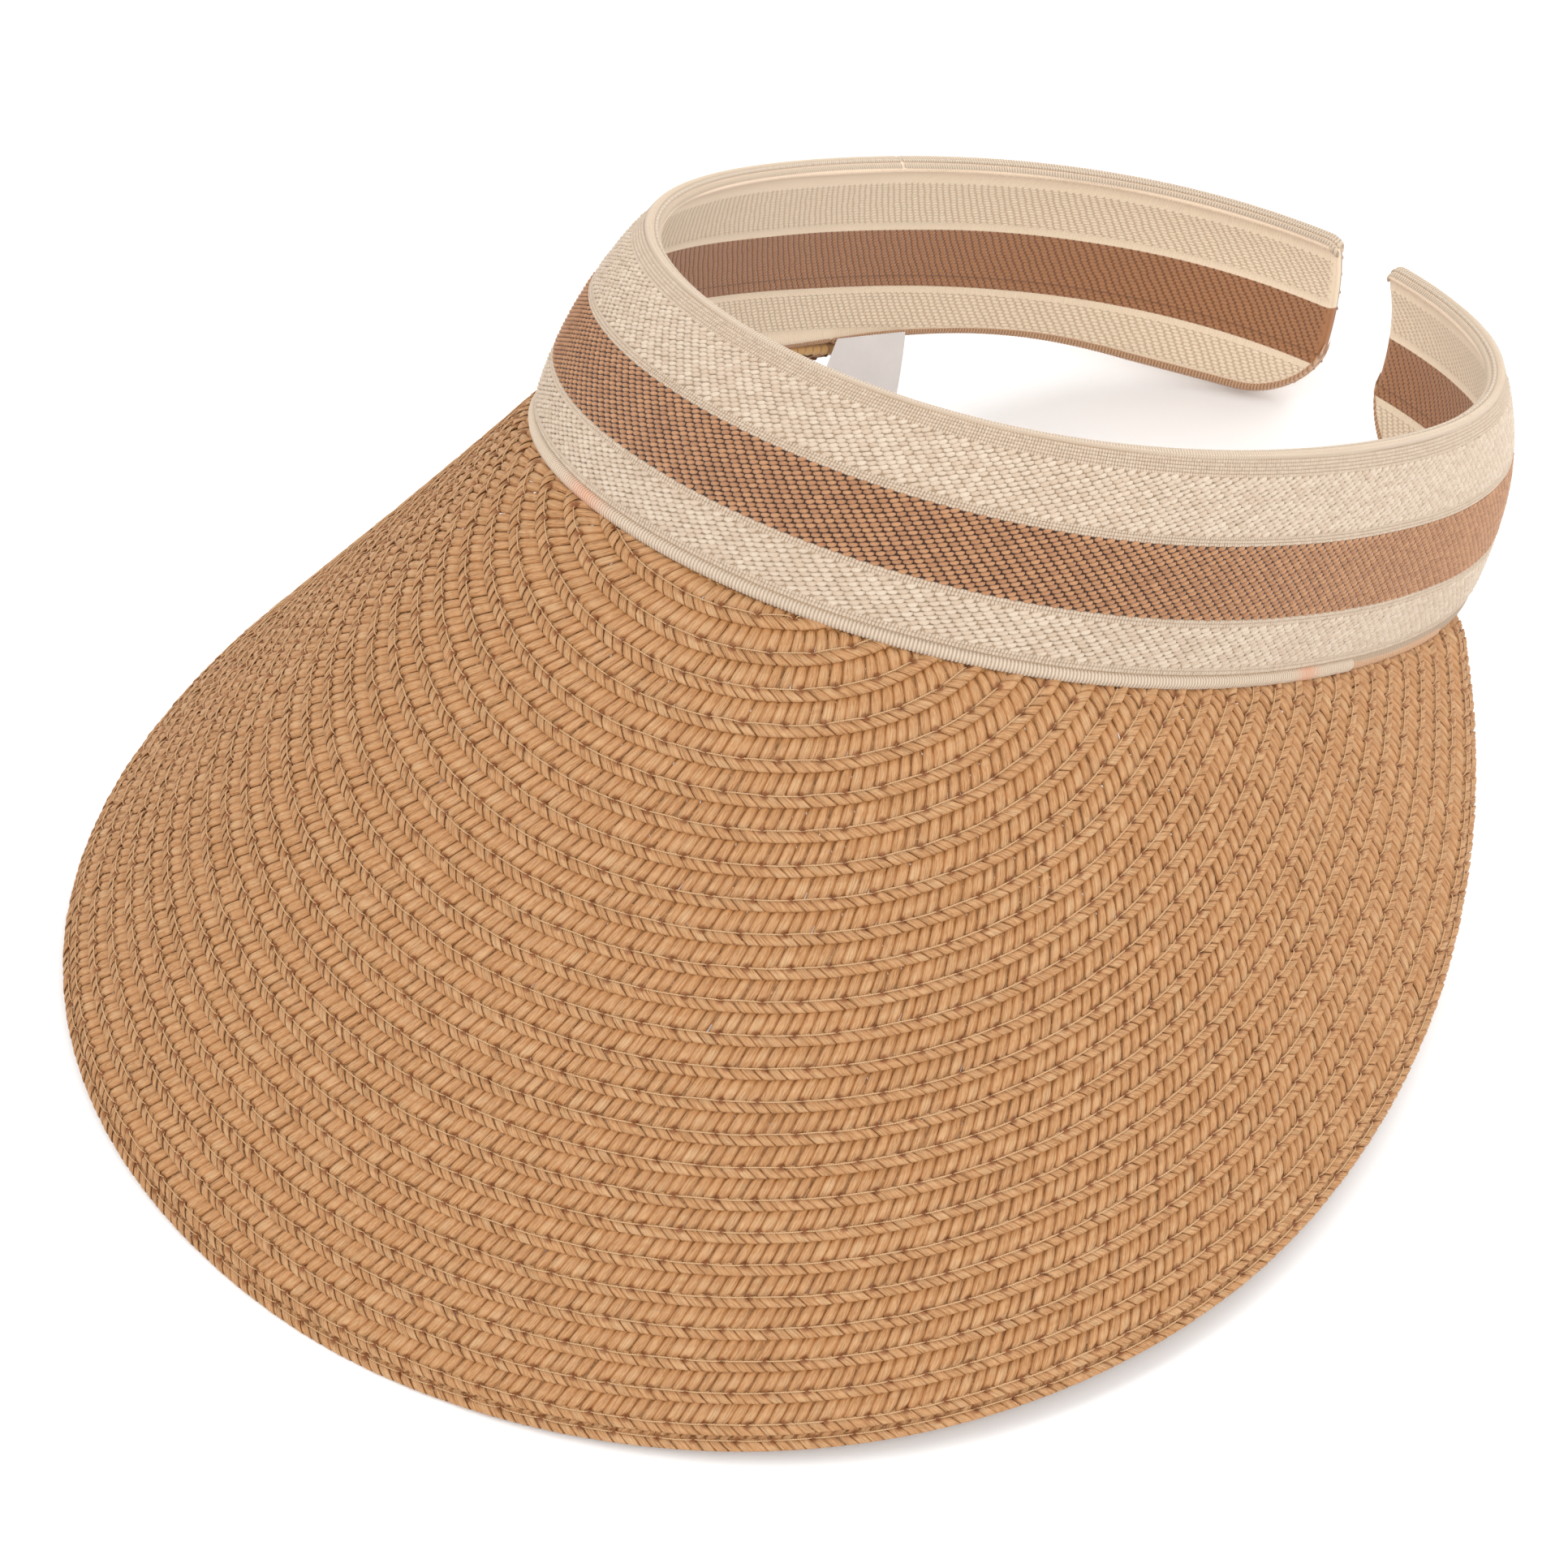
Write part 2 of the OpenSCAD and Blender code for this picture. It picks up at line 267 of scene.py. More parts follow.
class Value:
    """A number in a material's nodes, so that a formula can be written out."""

    def __init__(self, tree, socket):
        self.tree, self.socket = tree, socket

    def math(self, operation, *others):
        node = self.tree.nodes.new("ShaderNodeMath")
        node.operation = operation
        for place, value in zip(node.inputs, (self, *others)):
            if isinstance(value, Value):
                self.tree.links.new(value.socket, place)
            else:
                place.default_value = value
        return Value(self.tree, node.outputs[0])

    def __add__(self, other):
        return self.math("ADD", other)

    def __sub__(self, other):
        return self.math("SUBTRACT", other)

    def __mul__(self, other):
        return self.math("MULTIPLY", other)

    def __truediv__(self, other):
        return self.math("DIVIDE", other)

    def __pow__(self, other):
        return self.math("POWER", other)

    __radd__, __rmul__ = __add__, __mul__

    def floor(self):
        return self.math("FLOOR")

    def fract(self):
        return self.math("FRACT")

    def size(self):
        return self.math("ABSOLUTE")

    def wave(self):
        """Sine of this many whole turns."""
        return (self * math.tau).math("SINE")

    def ramp(self, low, high):
        """0 at low and 1 at high, smoothly; low may be the larger."""
        node = self.tree.nodes.new("ShaderNodeMapRange")
        node.interpolation_type = "SMOOTHSTEP"
        self.tree.links.new(self.socket, node.inputs["Value"])
        flip = low > high
        for place, value in (("From Min", min(low, high)), ("From Max", max(low, high))):
            node.inputs[place].default_value = value
        node.inputs["To Min"].default_value = 1 if flip else 0
        node.inputs["To Max"].default_value = 0 if flip else 1
        return Value(self.tree, node.outputs[0])

    def between(self, low, high, soft):
        """1 from low to high and 0 outside."""
        return self.ramp(low - soft, low + soft) * self.ramp(high + soft, high - soft)


class Paint:
    """One material, with short calls for what the pieces here need."""

    def __init__(self, name, roughness, sheen=0.0):
        self.material = bpy.data.materials.new(name)
        self.material.use_nodes = True
        self.tree = self.material.node_tree
        self.shader = next(n for n in self.tree.nodes if n.type == "BSDF_PRINCIPLED")
        self.shader.inputs["Roughness"].default_value = roughness
        self.shader.inputs["Sheen Weight"].default_value = sheen
        self.shader.inputs["Sheen Roughness"].default_value = 0.5

    def uv(self, layer):
        node = self.tree.nodes.new("ShaderNodeUVMap")
        node.uv_map = layer
        split = self.tree.nodes.new("ShaderNodeSeparateXYZ")
        self.tree.links.new(node.outputs[0], split.inputs[0])
        return Value(self.tree, split.outputs[0]), Value(self.tree, split.outputs[1])

    def value(self, layer):
        node = self.tree.nodes.new("ShaderNodeAttribute")
        node.attribute_name = layer
        return Value(self.tree, node.outputs["Fac"])

    def noise(self, x, y, z=0.0, detail=2.0, rough=0.5):
        node = self.tree.nodes.new("ShaderNodeTexNoise")
        join = self.tree.nodes.new("ShaderNodeCombineXYZ")
        for place, value in zip(join.inputs, (x, y, z)):
            if isinstance(value, Value):
                self.tree.links.new(value.socket, place)
            else:
                place.default_value = value
        self.tree.links.new(join.outputs[0], node.inputs["Vector"])
        node.inputs["Scale"].default_value = 1
        node.inputs["Detail"].default_value = detail
        node.inputs["Roughness"].default_value = rough
        return Value(self.tree, node.outputs["Fac"])

    def mix(self, factor, a, b):
        """A colour between a and b, each a colour or three numbers."""
        node = self.tree.nodes.new("ShaderNodeMix")
        node.data_type = "RGBA"
        self.tree.links.new(factor.socket, node.inputs["Factor"])
        for place, colour in zip((node.inputs[6], node.inputs[7]), (a, b)):
            if isinstance(colour, tuple):
                place.default_value = (*colour, 1)
            else:
                self.tree.links.new(colour, place)
        return node.outputs[2]

    def finish(self, colour, height=None, depth=0.0, roughness=None):
        """Joins up the shader. depth is the bump's in millimetres."""
        self.tree.links.new(colour, self.shader.inputs["Base Color"])
        if roughness is not None:
            self.tree.links.new(roughness.socket, self.shader.inputs["Roughness"])
        if height is not None:
            bump = self.tree.nodes.new("ShaderNodeBump")
            bump.inputs["Strength"].default_value = 1
            bump.inputs["Distance"].default_value = depth / 1000
            self.tree.links.new(height.socket, bump.inputs["Height"])
            self.tree.links.new(bump.outputs[0], self.shader.inputs["Normal"])
        return self.material


# how far from a row's lower edge it is stitched, and the needle holes' size and depth
HOLE_V, HOLE_R, HOLE_DEPTH = 1.72, 0.42, 0.55


def straw_paint():
    """Flat paper straw: fibres along each strand, with painted shade in its folds, at the strand edges,
    under the next row's edge and in the needle holes along the stitching.
    """
    p = Paint("straw", 0.6)
    across, along = p.uv("strand")
    from_hole, v = p.uv("braid")
    tint = p.value("tint")
    fibre = p.noise(across * 5.5, along * 0.8, tint * 40, 3, 0.6)
    fine = p.noise(across * 15, along * 1.6, tint * 70, 2, 0.6)
    blotch = p.noise(along * 0.5, tint * 13, 0.0, 2)
    fold = (p.noise(across * 1.7, along * 0.16, tint * 90, 1) - 0.5).size()
    colour = p.mix(fibre.ramp(0.3, 0.72), (0.385, 0.175, 0.06), (0.53, 0.295, 0.133))
    colour = p.mix(fine.ramp(0.3, 0.5) * 0.35 + 0.65, (0.37, 0.15, 0.045), colour)
    colour = p.mix(tint * blotch.ramp(0.35, 0.7) * 0.8, colour, (0.56, 0.35, 0.178))
    # painted shade in the paper's creases, where the bump also sinks
    colour = p.mix(fold.ramp(0.03, 0.0) * 0.3, colour, (0.4, 0.16, 0.04))
    # painted shade along each strand's edges, in the crevices between strands
    colour = p.mix(across.size().ramp(0.6, 1.0) * 0.6, colour, (0.36, 0.135, 0.03))
    # painted shade under the next row's lower edge, which lies over this part of the row
    colour = p.mix(v.ramp(4.0, 5.1) * 0.5, colour, (0.5, 0.21, 0.05))
    # painted shade in the needle holes, which are also dented into the braid
    hole = ((from_hole**2.0 + (v - HOLE_V) ** 2.0) ** 0.5).ramp(1.0, 0.4)
    colour = p.mix(hole * 0.85, colour, (0.22, 0.065, 0.012))
    height = fibre * 0.6 + fine * 0.3 - fold.ramp(0.06, 0.0) * 0.5
    return p.finish(colour, height, 0.14, fibre * 0.25 + 0.42)


# yarn colours, and the painted shade put on the ground where it shows between floats and ribs
CREAM, CREAM_GAP_SHADE = (0.53, 0.41, 0.305), (0.31, 0.215, 0.135)
BROWN, BROWN_GAP_SHADE = (0.36, 0.17, 0.078), (0.05, 0.018, 0.007)

# the tape's zones as shares of its height, from the bottom edge
ROLL_TO, RIB_A_TO, TWILL_A_TO, RIB_B_TO = 0.063, 0.098, 0.269, 0.304
BROWN_TO, RIB_C_TO, TWILL_B_TO, RIB_D_TO = 0.608, 0.65, 0.89, 0.965

# millimetres along the tape, up it, and sideways from one pick to the next
FLOAT_PITCH, FLOAT_RISE, FLOAT_STEP = 2.2, 0.55, 0.62
LINING_PITCH, LINING_RISE, LINING_STEP = 1.55, 0.6, 0.42
RIB_PITCH = 0.57
WRAP_PITCH = 0.6  # from one turn of an edge's thread to the next
PINK = (0.72, 0.4, 0.27)


def zones(up):
    """Masks of the brown stripe and of the ribbed zones, and the height as a share, on a tape."""
    f = up / TAPE_W
    ribbed = f.ramp(RIB_A_TO, RIB_A_TO - 0.004) + f.between(TWILL_A_TO, RIB_B_TO, 0.002)
    ribbed = ribbed + f.between(BROWN_TO, RIB_C_TO, 0.002) + f.ramp(TWILL_B_TO, TWILL_B_TO + 0.004)
    return f.between(RIB_B_TO, BROWN_TO, 0.0025), ribbed.math("MINIMUM", 1.0), f


def ground_paint():
    """What shows between the outer tape's floats and ribs, coloured as painted shade, and its rolled top
    edge.
    """
    p = Paint("outer_ground", 0.9, 0.2)
    along, up = p.uv("tape")
    brown, _, f = zones(up)
    fuzz = p.noise(along * 5, up * 5, 0.0, 3, 0.65)
    turn = (along / RIB_PITCH).wave() * 0.5 + 0.5
    roll = f.ramp(RIB_D_TO + 0.002, RIB_D_TO + 0.008)
    # painted shade: the ground between floats and ribs is coloured as shaded gaps, nearly black under
    # the brown stripe
    colour = p.mix(fuzz.ramp(0.3, 0.7) * 0.5, CREAM_GAP_SHADE, (0.55, 0.4, 0.26))
    colour = p.mix(brown, colour, BROWN_GAP_SHADE)
    # along the tape's outline, where no floats cover the ground, it takes the yarn's own colour instead
    # of the painted shade
    rim = p.value("rim") * (fuzz * 0.5 + 0.6)
    colour = p.mix(rim.math("MINIMUM", 1.0), colour, p.mix(brown, CREAM, (0.42, 0.21, 0.1)))
    # painted shade between the turns of the top roll's thread
    colour = p.mix(roll * (turn * 0.25 + 0.75), colour, (0.52, 0.41, 0.31))
    return p.finish(colour, turn * 0.6 + fuzz * 0.4, 0.12)


def yarn_paint():
    """Soft cotton floats and ribs, cream or brown, with painted shade at their sides and where they
    dive.
    """
    p = Paint("outer_yarn", 0.85, 0.25)
    across, along = p.uv("yarn")
    # the attribute shade is the yarn's dye, 0 cream and 1 brown; tint varies it at random
    shade, tint = p.value("shade"), p.value("tint")
    fuzz = p.noise(along * 4, across * 1.6, tint * 60, 3, 0.7)
    twist = (along * 1.6 + across * 0.7).wave() * 0.5 + 0.5
    light = p.mix(tint, CREAM, (0.62, 0.51, 0.4))
    dark = p.mix(tint, BROWN, (0.47, 0.24, 0.115))
    # painted shade colours for the floats' sides, their ends where they dive under, and the grooves of
    # their twist
    low = p.mix(shade, (0.37, 0.27, 0.175), (0.12, 0.045, 0.016))
    high = p.mix(shade, light, dark)
    # how much painted shade: at the sides, at the ends, in the twist's grooves, plus the fuzz's random
    # darker tone
    side = across.size().ramp(0.55, 1.05) * 0.55 + along.ramp(0.35, 0.0) * 0.45
    side = side + fuzz.ramp(0.5, 0.3) * 0.2 + twist.ramp(0.3, 0.0) * 0.1
    colour = p.mix(side.math("MINIMUM", 1.0), high, low)
    return p.finish(colour, fuzz * 0.6 + twist * 0.4, 0.1)


def lining_paint():
    """The inner tape: the same stripes in a finer, flatter twill."""
    p = Paint("inner_tape", 0.85, 0.25)
    along, up = p.uv("tape")
    wobble = p.noise(along * 0.3, up * 0.3, 0.0, 2) * 0.5
    y = up / LINING_RISE + wobble
    row = y.floor()
    cross = (y.fract() - 0.5).size() * 2
    phase = ((along - row * LINING_STEP) / LINING_PITCH * -1 + wobble).fract()
    body = (cross**2.0 * -1 + 1).math("MAXIMUM", 0.0) ** 0.5
    dash = phase.ramp(0, 0.3) * phase.ramp(1.0, 0.75)
    twill = dash * (body * 0.6 + 0.4)
    rib = ((along / RIB_PITCH).wave() * 0.5 + 0.5) * 0.35 + 0.5
    brown, ribbed, f = zones(up)
    fuzz = p.noise(along * 6, up * 6, 0.0, 3, 0.65)
    ribbed = (ribbed + p.value("rim")).math("MINIMUM", 1.0)
    height = twill * (ribbed * -1 + 1) + rib * ribbed
    # painted shade: the twill's hollows are darker than its threads' tops
    thread = height.ramp(0.1, 0.7) * 0.8 + fuzz.ramp(0.25, 0.75) * 0.2
    seam = f.between(0.352, 0.36, 0.003)
    cream_zone = p.mix(thread, (0.66, 0.475, 0.31), (0.9, 0.755, 0.575))
    cream_zone = p.mix(f.ramp(0.9, 1.0) * 0.5, cream_zone, (0.78, 0.57, 0.42))
    brown_zone = p.mix(thread, (0.19, 0.07, 0.024), (0.43, 0.2, 0.09))
    colour = p.mix(brown, cream_zone, brown_zone)
    colour = p.mix(seam * 0.45 * brown, colour, (0.16, 0.06, 0.02))
    return p.finish(colour, height - seam * 0.4 + fuzz * 0.12, 0.25)


def wrapped_paint(name, light, dark, pitch):
    """A thread-wrapped edge: turns of thread across a cord with painted shade between them, pinker where
    the attribute says.
    """
    p = Paint(name, 0.85, 0.25)
    along, round_ = p.uv("cord")
    turn = (along / pitch - 0.25).wave() * 0.5 + 0.5
    fuzz = p.noise(along * 5, round_ * 9, 0.0, 3, 0.65)
    warm = p.value("pink")
    colour = p.mix(warm, light, PINK)
    # painted shade between the turns of thread, with the fuzz's random darker tone
    colour = p.mix(turn.ramp(0.45, 0.0) * 0.8 + fuzz.ramp(0.5, 0.3) * 0.2, colour, dark)
    return p.finish(colour, turn + fuzz * 0.25, 0.15)


def thread_paint():
    """The brim's two-ply sewing thread, with painted shade between its plies."""
    p = Paint("brim_thread", 0.6)
    along, round_ = p.uv("cord")
    ply = (along / 0.4 + round_).wave() * 0.5 + 0.5
    # painted shade in the grooves between the plies
    colour = p.mix(ply, (0.44, 0.25, 0.115), (0.6, 0.38, 0.2))
    return p.finish(colour, ply, 0.05)


def label_paint():
    """Blank satin, faintly uneven."""
    p = Paint("label_cloth", 0.5, 0.1)
    x, y = p.uv("cloth")
    weave = (x * 3.6).wave() * (y * 3.6).wave() * 0.5 + 0.5
    stain = p.noise(x * 0.2, y * 0.2, 0.0, 2)
    colour = p.mix(stain, (0.8, 0.77, 0.76), (0.9, 0.88, 0.87))
    colour = p.mix(weave * 0.15, colour, (0.62, 0.57, 0.52))
    return p.finish(colour, weave, 0.04)


def plastic_paint():
    """Hazy springy plastic, hidden between the tapes."""
    p = Paint("spring_plastic", 0.35)
    coordinates = p.tree.nodes.new("ShaderNodeTexCoord")
    split = p.tree.nodes.new("ShaderNodeSeparateXYZ")
    p.tree.links.new(coordinates.outputs["Object"], split.inputs[0])
    x, y, z = (Value(p.tree, o) for o in split.outputs)
    haze = p.noise(x * 400, y * 400, z * 400, 2)
    colour = p.mix(haze, (0.72, 0.72, 0.7), (0.82, 0.82, 0.8))
    return p.finish(colour, haze, 0.02)


STRAW = straw_paint()
BRIM_THREAD = thread_paint()
GROUND = ground_paint()
YARN = yarn_paint()
LINING = lining_paint()
# each wrapped edge's thread colour, and the painted shade between its turns
SELVEDGE = wrapped_paint("selvedge", (0.64, 0.52, 0.4), (0.34, 0.24, 0.155), WRAP_PITCH)
OVERLOCK = wrapped_paint("overlock", (0.6, 0.37, 0.22), (0.28, 0.13, 0.06), WRAP_PITCH)
BINDING = wrapped_paint("inner_binding", (0.66, 0.4, 0.16), (0.4, 0.2, 0.06), 2.0)

# ---- brim --------------------------------------------------------------------

STRAND_PITCH = 2.0
STITCH = 6.3
BAND_LIFT = 0.85  # how much the braid is pushed up where it passes under the band's lower edge


class Row:
    """One row of braid, counted from the rim: a place by mm along it, mm in from its edge and height."""

    def __init__(self, j):
        self.j = j
        self.outer = edge(j - 1)
        self.width = edge(j) + ROW_LAP - self.outer
        end = meet(self.outer) - 0.4
        self.angles = np.linspace(-end, end, 900)
        line = self.place(None, 1.5, 0.5, self.angles)
        step = np.linalg.norm(np.diff(line, axis=0), axis=-1)
        self.along = np.concatenate([[0], np.cumsum(step)])
        self.length = self.along[-1]
        rng = np.random.default_rng(100 + j)
        holes = np.arange(rng.uniform(0, STITCH), self.length, STITCH)
        self.holes = holes + rng.uniform(-0.5, 0.5, len(holes))
        self.rng = rng

    def place(self, s, v, h, angles=None):
        a = np.interp(s, self.along, self.angles) if angles is None else angles
        w = self.outer + v
        x, y = oval(w, a)
        near = 1 - np.clip(mat_out(x, y) / TUCK_REACH, 0, 1)
        return mat(x, y, BRAID_T * (edge(self.j) - w) / ROW_PITCH + h + BAND_LIFT * near)

    def from_hole(self, s):
        """Distance along the row to the nearest needle hole."""
        after = np.clip(np.searchsorted(self.holes, s), 1, len(self.holes) - 1)
        return np.minimum(np.abs(s - self.holes[after - 1]), np.abs(s - self.holes[after]))

    def strands(self, patches, s0, path, width, profile, across, flip=False):
        """A patch for each strand that starts s0 along the row. path is a list of (v, shift along
        the row, height, width share); profile gives the height lost over the strand's width."""
        s0 = s0[(s0 > 0.4) & (s0 < self.length - 0.4)]
        n = len(s0)
        rng = self.rng
        path = np.array(path, float)
        q = np.linspace(-1, 1, across)[None, None, :]
        size = (width * rng.uniform(0.9, 1.1, n))[:, None, None]
        v, shift, h, share = (path[None, :, k, None] for k in range(4))
        jitter = rng.uniform(-0.12, 0.12, (n, 1, 1))
        s = s0[:, None, None] + jitter + shift + q * size / 2 * share
        s = np.clip(s, 0, self.length)
        v = np.clip(v + rng.uniform(-0.1, 0.1, (n, 1, 1)) * (v > 0.5), 0, self.width)
        fold = 0
        for side in (-1, 1):
            crease = side * rng.uniform(0.1, 0.6, (n, 1, 1)) + 0.1 * v - 0.2
            fold = fold + rng.uniform(0, 0.25, (n, 1, 1)) * np.exp(-(((q - crease) / 0.17) ** 2))
        up = -1 if flip else 1
        lift = rng.uniform(-0.07, 0.07, (n, 1, 1))
        h = h + up * (lift - profile(q) - fold)
        gap = self.from_hole(s)
        if not flip:
            h = h - HOLE_DEPTH * np.exp(-((gap / HOLE_R) ** 2 + ((v - HOLE_V) / HOLE_R) ** 2))
        run = np.concatenate([[0], np.cumsum(np.hypot(np.diff(path[:, 0]), np.diff(path[:, 1])))])
        patches.add(
            self.place(s, v + 0 * s, h),
            {"strand": pair(q + 0 * s, run[None, :, None]), "braid": pair(gap, v)},
            {"tint": rng.uniform(0, 1, (n, 1, 1))},
            flip=flip,
        )

    def starts(self, pitch):
        count = int(self.length / pitch)
        return (np.arange(count) + 0.5) * self.length / count


def straw_row(j):
    """The plaited braid of one row: slanting plump strands, a twisted lower edge and an underside."""
    row, patches = Row(j), Patches()
    inner = row.width - 0.25
    plump = [(1.25, -0.75, 0.35, 0.45), (1.65, -0.55, 0.62, 0.75), (2.2, -0.24, 0.96, 0.96)]
    plump += [(3.0, 0.16, 1.14, 1.02), (3.9, 0.55, 1.08, 1.02), (4.7, 0.85, 0.96, 0.96)]
    plump = [p for p in plump if p[0] < inner - 0.3] + [(inner, 0.45 * (inner - 2.7), 0.92, 0.9)]
    row.strands(patches, row.starts(STRAND_PITCH), plump, 1.96, lambda q: 0.55 * np.abs(q) ** 2.4, 11)
    twist = [(2.0, -1.15, 0.6, 0.75), (1.5, -0.7, 0.86, 0.95), (0.95, -0.12, 0.98, 1.0)]
    twist += [(0.4, 0.46, 0.93, 1.0), (0.06, 0.82, 0.66, 1.0), (0.0, 0.9, 0.28, 1.0)]
    twist += [(0.5, 1.2, 0.06, 0.95)]
    row.strands(
        patches,
        row.starts(STRAND_PITCH) + STRAND_PITCH / 2,
        twist,
        2.02,
        lambda q: 0.2 * np.abs(q) ** 4 - 0.09 * q,
        7,
    )
    middle = row.width / 2
    for low, high, turn in ((0.3, middle + 0.2, 1), (middle - 0.2, inner, -1)):
        steps = [(0, 0.28), (0.33, 0.02), (0.67, 0.02), (1, 0.3)]
        under = [(low + (high - low) * k, turn * 1.6 * (k - 0.5), h, 1.0) for k, h in steps]
        row.strands(patches, row.starts(2.5), under, 2.5, lambda q: 0.28 * q**2, 4, flip=True)
    obj = patches.build(f"straw_row_{j:02d}", STRAW)
    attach(obj, "front")
    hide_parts("rim_row" if j == 1 else f"braid_row_{j:02d}")
    return row


def tube(patches, points, radius, sides=5, pink=None):
    """A round cord through points of the band frame."""
    tangent = np.gradient(points, axis=0)
    tangent /= np.linalg.norm(tangent, axis=-1, keepdims=True) + 1e-9
    side = np.cross(tangent, [0.3, 0.2, 1.0])
    side /= np.linalg.norm(side, axis=-1, keepdims=True) + 1e-9
    other = np.cross(side, tangent)
    turn = np.linspace(0, math.tau, sides, endpoint=False)
    radius = np.broadcast_to(radius, len(points))[:, None, None]
    ring = side[:, None] * np.cos(turn)[None, :, None] + other[:, None] * np.sin(turn)[None, :, None]
    along = np.concatenate([[0], np.cumsum(np.linalg.norm(np.diff(points, axis=0), axis=-1))])
    patches.add(
        (points[:, None] + ring * radius)[None],
        {"cord": pair(along[None, :, None], (turn / math.tau)[None, None, :])},
        {"pink": 0.0 if pink is None else pink[None, :, None]},
        closed=True,
    )


def row_stitching(rows):
    """The thread that sews each row down on the next one out, from needle hole to needle hole."""
    patches = Patches()
    rise = [(0.03, 0.25), (0.09, 0.8), (0.2, 1.06), (0.5, 1.1), (0.8, 1.06), (0.91, 0.8), (0.97, 0.25)]
    for row in rows:
        s, v, h = [], [], []
        for a, b in zip(row.holes[:-1], row.holes[1:]):
            bow = row.rng.uniform(-0.12, 0.12)
            for k, height in rise:
                s.append(a + (b - a) * k)
                v.append(HOLE_V + bow * math.sin(math.pi * k))
                h.append(height)
        tube(patches, row.place(np.array(s), np.array(v), np.array(h)), 0.12, 5)
    obj = patches.build("row_stitching", BRIM_THREAD)
    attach(obj, "front")


def inner_binding():
    """A strand whipped along the brim's inner edge, under the band."""
    end = 0.5 * (meet(edge(0)) + meet(edge(1)))
    x, y = oval(0.0, end)
    t_end = math.degrees(math.atan2(x / BASE_W, -y / BASE_L))
    t = np.linspace(-t_end, t_end, 1700)
    points = band(t, 0, BASE_S - TUCK_IN) - [0, 0, 0.75]
    patches = Patches()
    tube(patches, points, 0.95 + 0.12 * np.sin(np.arange(len(t)) * math.tau / 9), 9)
    obj = patches.build("inner_binding", BINDING)
    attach(obj, "front")


inner_binding()
rows = [straw_row(j) for j in range(1, ROWS + 1)]
row_stitching(rows)

# ---- headband ----------------------------------------------------------------

SPLIT_AT = 113  # degrees round at which a front piece gives way to an arm's
HINGES = {j["name"]: j for j in frame["joints"]}


def bend(obj, side):
    """Bakes a piece's place into its mesh, and works out the way along the band across the hinge where
    its arm flexes.
    """
    arm = "right" if side > 0 else "left"
    hinge = HINGES[f"{arm}_arm_flex"]
    pos, axis = np.array(hinge["pos_m"]), np.array(hinge["axis"])
    ahead = stand(band(side * (FLEX_AT + 1), 0.5, 0)) - stand(band(side * (FLEX_AT - 1), 0.5, 0))
    ahead = ahead - axis * (ahead @ axis)
    ahead /= np.linalg.norm(ahead)
    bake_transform(obj)


def spans():
    """(name, side, from, to) of the front and of both arms, in degrees round the band."""
    return (
        ("front", 0, -SPLIT_AT, SPLIT_AT),
        ("left", -1, -LEFT_END, -SPLIT_AT),
        ("right", 1, SPLIT_AT, RIGHT_END),
    )


def length_round(s):
    """Millimetres along the band's middle line against degrees round it."""
    t = np.linspace(-180, 180, 2881)
    step = np.linalg.norm(np.diff(band(t, 0.5, s), axis=0), axis=-1)
    total = np.concatenate([[0], np.cumsum(step)])
    return t, total - total[len(t) // 2]


def soft_edge(d, r):
    """0 at an edge and 1 from r away, like a quarter circle."""
    return np.sqrt(1 - (1 - np.clip(d / r, 0, 1)) ** 2)


def bump_at(f, low, high):
    """A half wave between two heights of the tape."""
    return np.sin(np.pi * np.clip((f - low) / (high - low), 0, 1))


def slow_wave(along, f):
    """The tape is nowhere quite flat."""
    return 0.12 * np.sin(along / 9.0 + 2 * f) * np.sin(along / 23.0 + 5 * f)


def tape_relief(along, f, sign):
    """How far the tape stands out of its CAD thickness."""
    ribs = bump_at(f, TWILL_A_TO, RIB_B_TO) + bump_at(f, BROWN_TO, RIB_C_TO)
    ribs = ribs + 1.3 * bump_at(f, TWILL_B_TO, RIB_D_TO) + bump_at(f, ROLL_TO, RIB_A_TO)
    rolls = 0.35 * bump_at(f, 0, ROLL_TO) + 0.4 * bump_at(f, RIB_D_TO - 0.003, 1)
    down = (0.14 if sign > 0 else 0.16 * ribs) + 0.1 * np.exp(-(((f - RIB_D_TO) / 0.006) ** 2))
    return rolls - down + slow_wave(along, f)


